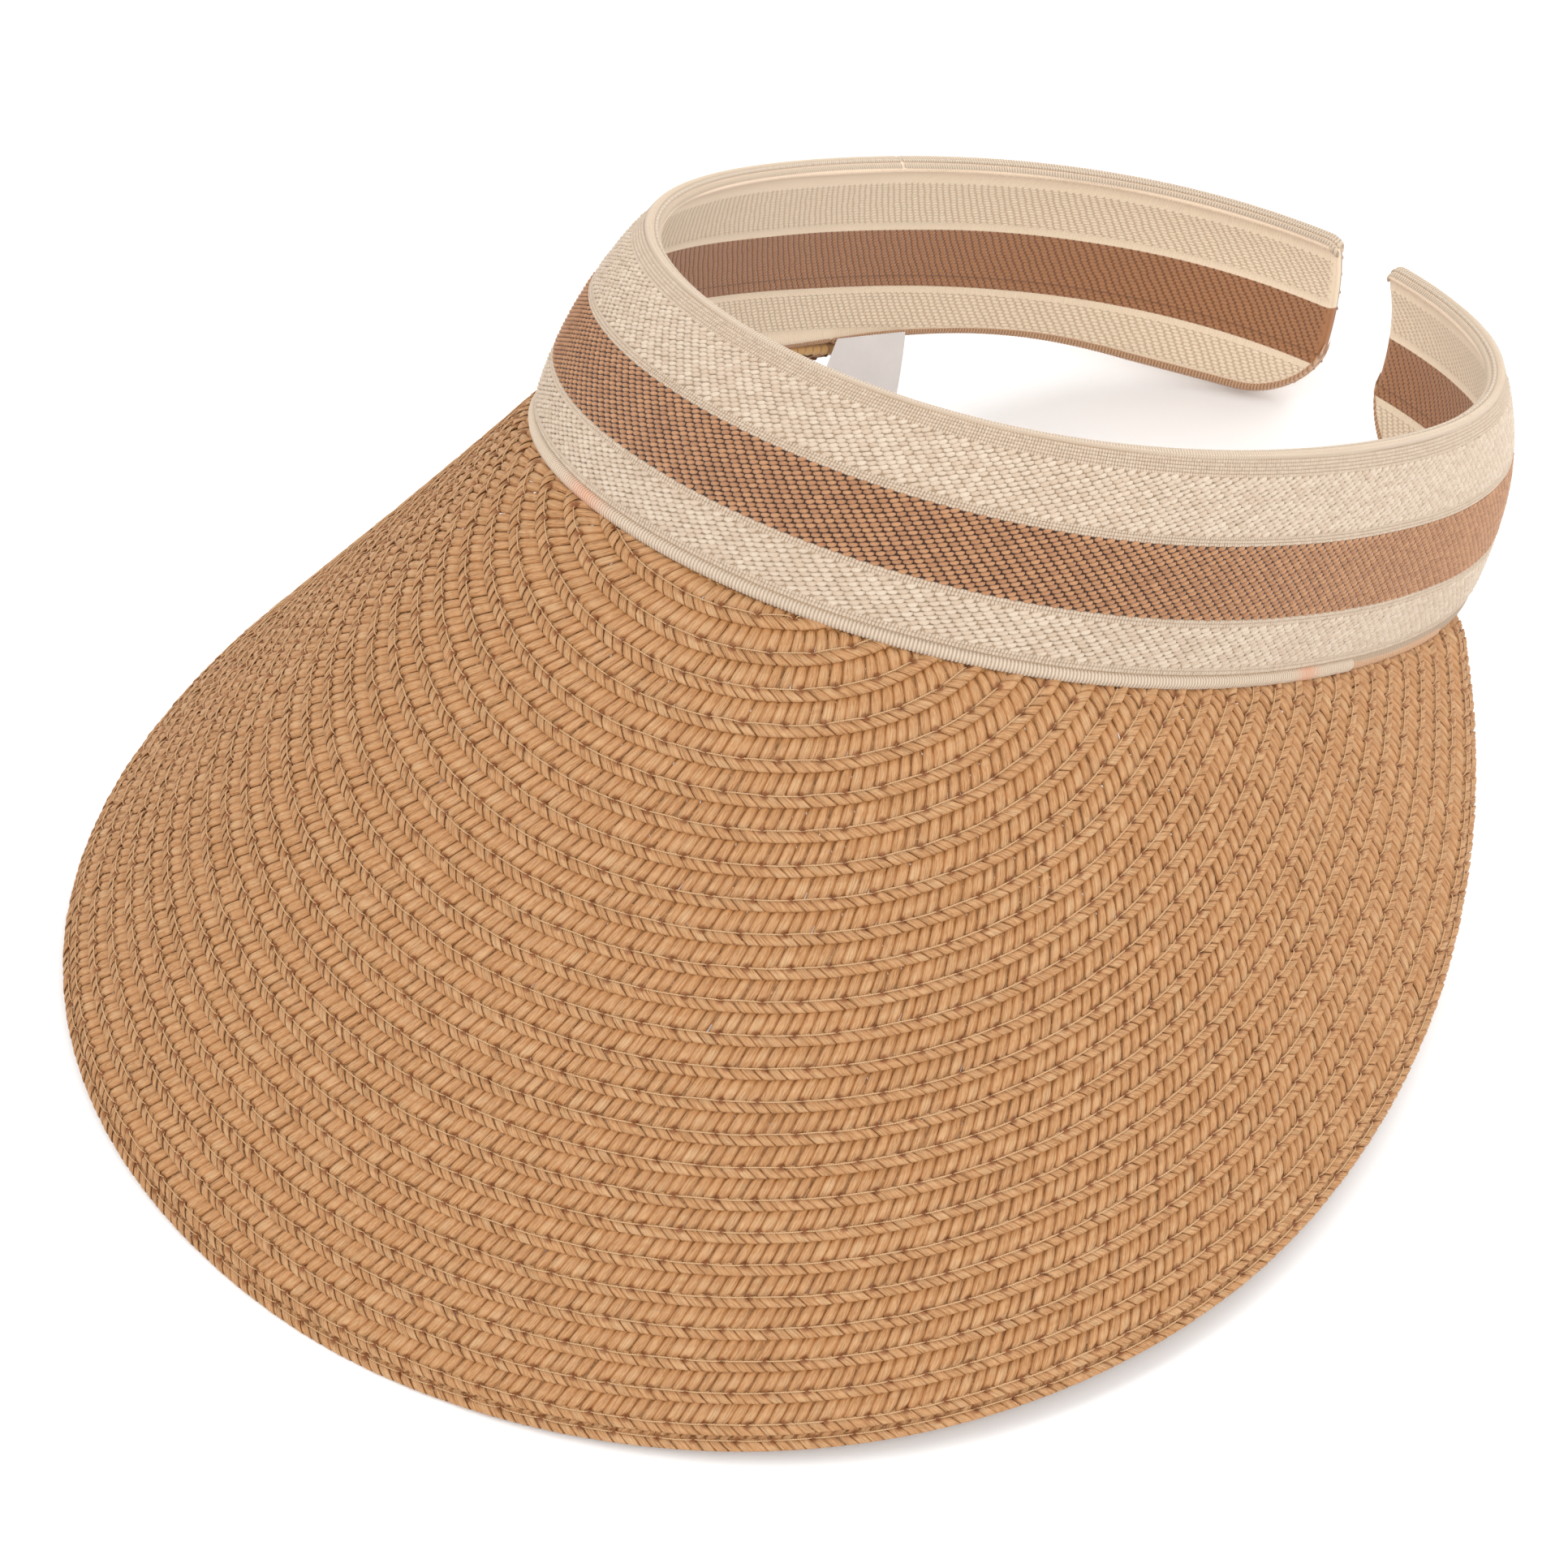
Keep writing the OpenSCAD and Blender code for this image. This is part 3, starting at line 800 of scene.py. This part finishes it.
def tape(layer, sign, material, span, step_along, step_up):
    """One length of the striped tape, closed round its edges to the middle of the band."""
    name, side, t0, t1 = span
    t_all, l_all = length_round(sign * HALF_T)
    l0, l1 = np.interp([t0, t1], t_all, l_all)
    along = np.linspace(l0, l1, int((l1 - l0) / step_along))
    t = np.interp(along, l_all, t_all)
    g = np.linspace(0, 1, int(TAPE_W / step_up))
    end = LEFT_END if side < 0 else RIGHT_END
    u = (end - np.abs(t)) * MM_PER_DEGREE if side else np.full(len(t), 99.0)
    if side:
        close = np.linspace(0, 1, 7)[:-1] ** 1.6 * 1.3
        tip = side * (end - close / MM_PER_DEGREE)
        keep = u > 1.4
        t = np.concatenate([tip, t[keep]]) if side < 0 else np.concatenate([t[keep], tip[::-1]])
        u = (end - np.abs(t)) * MM_PER_DEGREE
        along = np.interp(t, t_all, l_all)
    low, high = (low_cut(u) + left_rise(t))[:, None], 1 - top_cut(u)[:, None]
    f = low + (high - low) * g[None, :]
    around = soft_edge((f - low) * TAPE_W, 1.1) * soft_edge((high - f) * TAPE_W, 1.1)
    around = around * soft_edge(u, 1.3)[:, None]
    s = 0.04 + (HALF_T - 0.04 + tape_relief(along[:, None], f, sign)) * around
    points = band(t[:, None], f, sign * s)
    patches = Patches()
    rim = 1 - np.clip(arm_room(t[:, None], f * TAPE_W) / 1.4, 0, 1) ** 2
    patches.add(
        points[None], {"tape": pair(along[:, None], f * TAPE_W)[None]}, {"rim": rim[None]},
        flip=sign > 0,
    )
    obj = patches.build(f"{layer}_tape_{name}_cloth", material)
    if side:
        bend(obj, side)
    else:
        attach(obj, "front")
    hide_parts(f"{layer}_tape_{name}")


def arm_room(t, up):
    """How far inside the outline of the tape a place on it is."""
    end = np.where(t < 0, LEFT_END, RIGHT_END)
    u = (end - np.abs(t)) * MM_PER_DEGREE
    low, high = (low_cut(u) + left_rise(t)) * TAPE_W, (1 - top_cut(u)) * TAPE_W
    return np.minimum(np.minimum(u, up - low), high - up)


def pillows(patches, rng, x, up, shape, grow, shade, jitter):
    """A puffy patch of yarn at each x, up of the outer tape. shape lists (along, height up the
    tape, how far out, width), all but the third made larger by grow."""
    t_all, l_all = length_round(HALF_T)
    keep = arm_room(np.interp(x, l_all, t_all), up) > 0.9
    x, up = x[keep, None, None], up[keep, None, None]
    n = len(x)
    if n == 0:
        return
    shape = np.array(shape, float) * (grow, grow, 1, grow)
    a, b, out, width = (shape[None, :, k, None] for k in range(4))
    q = np.array((-1, -0.6, 0, 0.6, 1))[None, None, :]
    size = 1 + jitter * rng.uniform(-1.2, 1.2, (n, 1, 1))
    x = x + a + jitter * rng.uniform(-1, 1, (n, 1, 1)) + 0 * q
    up = up + b * size + q * width * size + 0.5 * jitter * rng.uniform(-1, 1, (n, 1, 1))
    out = out + 0.6 * jitter * rng.uniform(-1, 1, (n, 1, 1)) - 0.3 * np.abs(q) ** 2.2
    f = up / TAPE_W
    t = np.interp(x, l_all, t_all)
    run = np.concatenate([[0], np.cumsum(np.hypot(np.diff(shape[:, 0]), np.diff(shape[:, 1])))])
    patches.add(
        band(t, f, HALF_T + out + slow_wave(x, f)),
        {"yarn": pair(q + 0 * out, run[None, :, None])},
        {"shade": shade, "tint": rng.uniform(0, 1, (n, 1, 1))},
        flip=True,
    )


FLOAT = [(-0.8, -0.16, -0.22, 0.2), (-0.62, -0.14, 0.06, 0.32), (-0.15, -0.05, 0.26, 0.38)]
FLOAT += [(0.27, 0.05, 0.36, 0.38), (0.58, 0.15, 0.3, 0.32), (0.78, 0.24, -0.12, 0.2)]


def outer_weave(span):
    """The floats and ribs of the outer tape, one piece for each zone."""
    name, side, t0, t1 = span
    t_all, l_all = length_round(HALF_T)
    l0, l1 = np.interp([t0, t1], t_all, l_all)
    rng = np.random.default_rng(500 + side)
    twills = (("lower", RIB_A_TO, TWILL_A_TO, 0), ("brown", RIB_B_TO, BROWN_TO, 1))
    twills += (("upper", RIB_C_TO, TWILL_B_TO, 0),)
    for zone, f0, f1, shade in twills:
        patches = Patches()
        picks = round((f1 - f0) * TAPE_W / FLOAT_RISE)
        for k in range(picks):
            up = (f0 + (f1 - f0) * (k + 0.5) / picks) * TAPE_W
            first = math.ceil((l0 + k * FLOAT_STEP) / FLOAT_PITCH)
            x = np.arange(first, (l1 + k * FLOAT_STEP) / FLOAT_PITCH) * FLOAT_PITCH - k * FLOAT_STEP
            pillows(
                patches, rng, x, np.full(len(x), up), FLOAT, 1.0 if shade else 1.14, shade,
                0.06 if shade else 0.11,
            )
        finish_weave(patches, f"outer_floats_{zone}_{name}", side)
    patches = Patches()
    ribs = ((ROLL_TO, RIB_A_TO, 2), (TWILL_A_TO, RIB_B_TO, 2), (BROWN_TO, RIB_C_TO, 3))
    for f0, f1, knots in (*ribs, (TWILL_B_TO, RIB_D_TO, 5)):
        tall = (f1 - f0) * TAPE_W / knots
        knot = [(0, -0.52 * tall, -0.05, 0.22), (0, -0.25 * tall, 0.14, 0.28)]
        knot += [(0, 0.25 * tall, 0.14, 0.28), (0, 0.52 * tall, -0.05, 0.22)]
        for k in range(knots):
            x = np.arange(l0, l1, RIB_PITCH) + 0.12 * k
            up = np.full(len(x), (f0 + (f1 - f0) * (k + 0.5) / knots) * TAPE_W)
            ribs_of(patches, rng, x, up, knot)
    finish_weave(patches, f"outer_ribs_{name}", side)


def ribs_of(patches, rng, x, up, knot):
    """Upright knots: as pillows, but their width runs along the tape."""
    t_all, l_all = length_round(HALF_T)
    keep = arm_room(np.interp(x, l_all, t_all), up) > 0.6
    x, up = x[keep, None, None], up[keep, None, None]
    n = len(x)
    knot = np.array(knot, float)
    b, out, width = (knot[None, :, k, None] for k in (1, 2, 3))
    q = np.array((-1, -0.4, 0.4, 1))[None, None, :]
    x = x + q * width * rng.uniform(0.9, 1.08, (n, 1, 1)) + 0.08 * b
    up = up + b + 0 * q
    out = out - 0.2 * q**2 + rng.uniform(-0.04, 0.04, (n, 1, 1))
    f = up / TAPE_W
    patches.add(
        band(np.interp(x, l_all, t_all), f, HALF_T + out + slow_wave(x, f)),
        {"yarn": pair(q + 0 * out, b + 0.6 + 0 * out)},
        {"shade": 0.0, "tint": rng.uniform(0, 0.7, (n, 1, 1))},
    )


def finish_weave(patches, name, side):
    """Makes one piece of the outer tape's yarn."""
    obj = patches.build(name, YARN)
    if side:
        bend(obj, side)
    else:
        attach(obj, "front")


def edge_cord(name, span, f, s, radius, sides, step, material, node=None, squash=1.0, pink=None):
    """A thread-wrapped cord along the band at height f and depth s. It has a ring of so many
    sides at every step, and squash is its height over its depth."""
    _, side, t0, t1 = span
    t_all, l_all = length_round(s)
    l0, l1 = np.interp([t0, t1], t_all, l_all)
    along = np.linspace(l0, l1, int(abs(l1 - l0) / step))
    t = np.interp(along, l_all, t_all)
    if side:
        end = LEFT_END if side < 0 else RIGHT_END
        u = (end - np.abs(t)) * MM_PER_DEGREE
        f = f + low_cut(u) if f < 0.5 else f - top_cut(u)
    if np.max(f) < 0.5:
        f = f + left_rise(t)
    turn = np.linspace(0, math.tau, sides, endpoint=False)[None, :]
    taper = soft_edge(np.minimum(along - along.min(), along.max() - along), 0.8)[:, None] ** 0.5
    pearl = 1 + 0.09 * np.sin(math.tau * (along[:, None] / WRAP_PITCH - 0.25))
    r = radius * taper * pearl
    ring_f = np.broadcast_to(np.asarray(f), len(t))[:, None] + r * np.cos(turn) * squash / TAPE_W
    points = band(t[:, None], ring_f, s + r * np.sin(turn))
    patches = Patches()
    warm = np.zeros(len(t)) if pink is None else pink(t)
    patches.add(
        points[None],
        {"cord": pair(along[:, None], turn / math.tau)[None]},
        {"pink": warm[None, :, None]},
        closed=True,
    )
    obj = patches.build(name, material)
    if side:
        bend(obj, side)
    else:
        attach(obj, "front")
    if node:
        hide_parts(node)
    return obj


def pink_patch(t):
    """A few turns of pinkish thread show in two places."""
    right = np.exp(-(((t - (SELVEDGE_FROM - 10)) / 1.8) ** 2))
    left = np.exp(-(((t + 18) / 3.5) ** 2))
    return np.clip(right + left, 0, 1)


for span in spans():
    tape("outer", 1, GROUND, span, step_along=0.5, step_up=0.45)
    outer_weave(span)
    tape("inner", -1, LINING, span, step_along=0.55, step_up=0.5)
    edge_cord(
        f"top_seam_{span[0]}_thread", span, f=0.998, s=0, radius=0.4, sides=6, step=0.35,
        material=SELVEDGE, node=f"top_seam_{span[0]}",
    )
    for roll, depth in (("outer", 0.8), ("inner", -0.8)):
        edge_cord(
            f"{roll}_roll_{span[0]}", span, f=0.9785, s=depth, radius=0.8, sides=9, step=0.15,
            material=SELVEDGE,
        )
    edge_cord(
        f"overlock_{span[0]}_thread", span, f=0.012, s=-0.75, radius=1.0, sides=8, step=0.2,
        material=OVERLOCK, node=f"overlock_{span[0]}", squash=0.75,
    )

edge_cord(
    "selvedge_roll", ("front", 0, SELVEDGE_TO, SELVEDGE_FROM), f=0.03, s=HALF_T - 0.15, radius=0.9,
    sides=8, step=0.15, material=SELVEDGE, node="lower_selvedge", squash=1.25,
    pink=pink_patch,
)

# past the brim the outer tape's lower edge is wrapped with overlock thread
for side, start in ((1, SELVEDGE_FROM), (-1, SELVEDGE_TO)):
    name = "right" if side > 0 else "left"
    end = side * (RIGHT_END if side > 0 else LEFT_END)
    near = ("front", 0, *sorted((start - side * 1.0, side * SPLIT_AT)))
    far = (name, side, *sorted((side * SPLIT_AT, end)))
    for place, stretch, inward in (("front", near, 0.35), ("arm", far, 0.55)):
        edge_cord(
            f"wrapped_edge_{name}_{place}", stretch, f=0.022, s=HALF_T - inward, radius=0.75,
            sides=8, step=0.2, material=OVERLOCK, squash=1.2,
        )

# half the strip's thickness, its lower and upper edges as shares of the tape's height, and how
# far it stays back from an arm's end
STRIP_HALF, STRIP_LOW, STRIP_HIGH, STRIP_BACK = 0.25, 0.08, 0.93, 3


def spring_strip(span, material):
    """The springy strip between the tapes."""
    name, side, t0, t1 = span
    end = LEFT_END if side < 0 else RIGHT_END
    stop = end - STRIP_BACK / MM_PER_DEGREE
    t = np.linspace(max(t0, -stop), min(t1, stop), 160)[:, None]
    u = (end - np.abs(t)) * MM_PER_DEGREE
    low, high = STRIP_LOW + low_cut(u) + left_rise(t), STRIP_HIGH - top_cut(u)
    up = np.linspace(0, 1, 9)
    f = low + (high - low) * np.concatenate([up, up[::-1]])[None, :]
    s = np.repeat((STRIP_HALF, -STRIP_HALF), len(up))[None, :]
    patches = Patches()
    patches.add(band(t, f, s)[None], {}, {}, closed=True)
    obj = patches.build(f"spring_strip_{name}_plastic", material)
    if side:
        bend(obj, side)
    else:
        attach(obj, "front")
    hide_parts(f"spring_strip_{name}")


plastic = plastic_paint()
for span in spans():
    spring_strip(span, plastic)

# ---- label -------------------------------------------------------------------


def care_label():
    """The blank cloth label, sewn at its top edge to the inside of the band's lower edge."""
    v, u = np.meshgrid(np.linspace(0, 1, 31), np.linspace(0, 1, 25), indexing="ij")
    t = LABEL_FROM + (LABEL_TO - LABEL_FROM) * np.linspace(0, 1, 25)
    top = band(t, left_rise(t) + 0.02, -HALF_T - 0.75)
    a, b = top[0], top[-1]
    along = (b - a) / np.linalg.norm(b - a)
    down = np.array([0, AXIS[1], -AXIS[2]])
    flat = down - along * (down @ along)
    side = flat / np.linalg.norm(flat)
    out = np.cross(along, side)
    spread = (LABEL_LOW - LABEL_TOP) * v**0.8
    x = (u - 0.6) * spread
    curl = 0.6 * np.sin(np.pi * v) * (0.4 + 0.6 * u) + 0.4 * np.sin(5 * u + 2 * v) * v
    long = LABEL_LEN - 0.8 * (2 * u - 1) ** 6
    points = top[None] + along * x[..., None] + side * (v * long)[..., None] + out * curl[..., None]
    patches = Patches()
    patches.add(points[None], {"cloth": pair(x + u * LABEL_TOP, v * LABEL_LEN)[None]}, {})
    obj = patches.build("care_label_cloth", label_paint())
    middle = (a + b) / 2
    start, end = (stand(middle + side * drop) for drop in LABEL_BEND)
    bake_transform(obj)
    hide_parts("care_label")


care_label()

# ---- stage -------------------------------------------------------------------


def floor():
    """A wide pale floor that curves up behind."""
    far, rise, n = 2.2, 1.6, 24
    line = [(-far, 0.0)] + [
        (0.9 + rise * math.sin(a), rise * (1 - math.cos(a))) for a in np.linspace(0, math.pi / 2, n)
    ]
    points = np.array([(x, y, z) for y, z in line for x in (-far * 1.6, far * 1.6)], float)
    obj = make("floor", points, grid_faces(1, len(line), 2), floor_paint())


def floor_paint():
    """Plain and pale."""
    p = Paint("floor", 0.9)
    coordinates = p.tree.nodes.new("ShaderNodeTexCoord")
    split = p.tree.nodes.new("ShaderNodeSeparateXYZ")
    p.tree.links.new(coordinates.outputs["Object"], split.inputs[0])
    x, y, z = (Value(p.tree, o) for o in split.outputs)
    colour = p.mix(p.noise(x * 2, y * 2, z * 2, 1), (0.93, 0.93, 0.93), (0.95, 0.95, 0.95))
    return p.finish(colour)


def light(name, position, aim, size, power):
    """A round soft light, aimed at a point."""
    data = bpy.data.lights.new(name, "AREA")
    data.shape, data.size, data.energy = "DISK", size, power
    obj = bpy.data.objects.new(name, data)
    bpy.context.scene.collection.objects.link(obj)
    obj.location = position
    direction = np.array(aim) - np.array(position)
    pitch = math.atan2(math.hypot(direction[0], direction[1]), -direction[2])
    obj.rotation_euler = (pitch, 0, math.atan2(direction[1], direction[0]) - math.pi / 2)


# what the camera is aimed at, in metres, from which side, in degrees, and its lens in mm
AIM = np.array([0.0113, -0.0366, 0.0467])
AZIMUTH, ELEVATION, ROLL, DISTANCE = 39.14, 43.83, -2.594, 1.2
SENSOR, LENS = 36, 171.2


def camera():
    """Looks down at the visor from the front and its wearer's left, through a long lens."""
    back = np.array(
        [sin(AZIMUTH) * cos(ELEVATION), -cos(AZIMUTH) * cos(ELEVATION), sin(ELEVATION)]
    )
    data = bpy.data.cameras.new("camera")
    data.sensor_width, data.lens = SENSOR, LENS
    obj = bpy.data.objects.new("camera", data)
    bpy.context.scene.collection.objects.link(obj)
    obj.location = AIM + back * DISTANCE
    forward = -back
    right = np.cross(forward, [0, 0, 1])
    right /= np.linalg.norm(right)
    up = np.cross(right, forward)
    turned_right = right * cos(ROLL) + up * sin(ROLL)
    turned_up = up * cos(ROLL) - right * sin(ROLL)
    obj.rotation_euler = Matrix(np.stack([turned_right, turned_up, back], -1).tolist()).to_euler()
    bpy.context.scene.camera = obj


floor()
light("key", (-0.9, -1.1, 1.9), (0, 0, 0.03), 1.6, 13)
light("fill", (1.3, -1.2, 1.5), (0, 0, 0.05), 1.4, 22)
light("back", (0.2, 1.6, 1.7), (0, 0, 0.05), 1.4, 20)
world = bpy.data.worlds.new("studio")
world.use_nodes = True
world.node_tree.nodes["Background"].inputs["Color"].default_value = (1, 0.99, 0.98, 1)
world.node_tree.nodes["Background"].inputs["Strength"].default_value = 0.95
bpy.context.scene.world = world
bpy.context.scene.view_settings.view_transform = "Standard"
camera()
